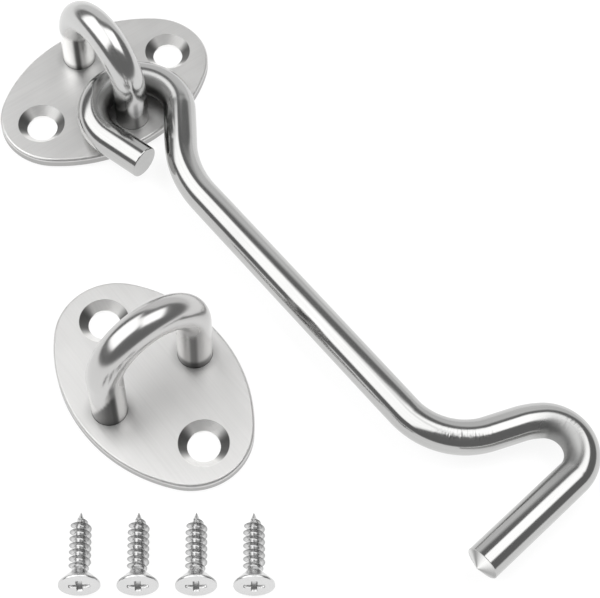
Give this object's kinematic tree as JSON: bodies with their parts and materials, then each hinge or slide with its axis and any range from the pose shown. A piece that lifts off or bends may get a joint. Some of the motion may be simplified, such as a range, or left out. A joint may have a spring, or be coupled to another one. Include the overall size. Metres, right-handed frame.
{
  "type": "hook and eye latch",
  "caption": "Stainless cabin hook: a bent rod hook whose eye swings on a staple welded to an oval plate, a matching keeper plate with staple, and countersunk wood screws.",
  "frame": {"origin": "centre of the pivot plate's back face, which lies on the surface that it is screwed to", "axes": "+Z out of the plates, +X along the pivot plate's screw holes, -Y along the hook's shank from the pivot to the crook"},
  "size_m": [0.0838, 0.1314, 0.0245],
  "materials": {
    "plate": "satin, fine brush lines",
    "staple": "polished",
    "hook": "polished",
    "screw": "bright"
  },
  "bodies": {
    "pivot": {"pivot_plate": "plate", "pivot_staple": "staple"},
    "hook": {"hook": "hook"},
    "keeper": {"keeper_plate": "plate", "keeper_staple": "staple"},
    "screw_1": {"screw_1": "screw"},
    "screw_2": {"screw_2": "screw"},
    "screw_3": {"screw_3": "screw"},
    "screw_4": {"screw_4": "screw"}
  },
  "joints": [
    {"name": "hook_swing", "type": "hinge", "parent": "pivot", "child": "hook", "pos_m": [0, -0.00875, 0], "axis": [0, 0, 1], "range_deg": [-12, 145]},
    {"name": "keeper_lift", "type": "slide", "parent": "pivot", "child": "keeper", "axis": [0, 0, 1], "range_m": [0, 0.04]},
    {"name": "screw_1_lift", "type": "slide", "parent": "pivot", "child": "screw_1", "axis": [0, 0, 1], "range_m": [0, 0.04]},
    {"name": "screw_2_lift", "type": "slide", "parent": "pivot", "child": "screw_2", "axis": [0, 0, 1], "range_m": [0, 0.04]},
    {"name": "screw_3_lift", "type": "slide", "parent": "pivot", "child": "screw_3", "axis": [0, 0, 1], "range_m": [0, 0.04]},
    {"name": "screw_4_lift", "type": "slide", "parent": "pivot", "child": "screw_4", "axis": [0, 0, 1], "range_m": [0, 0.04]}
  ]
}
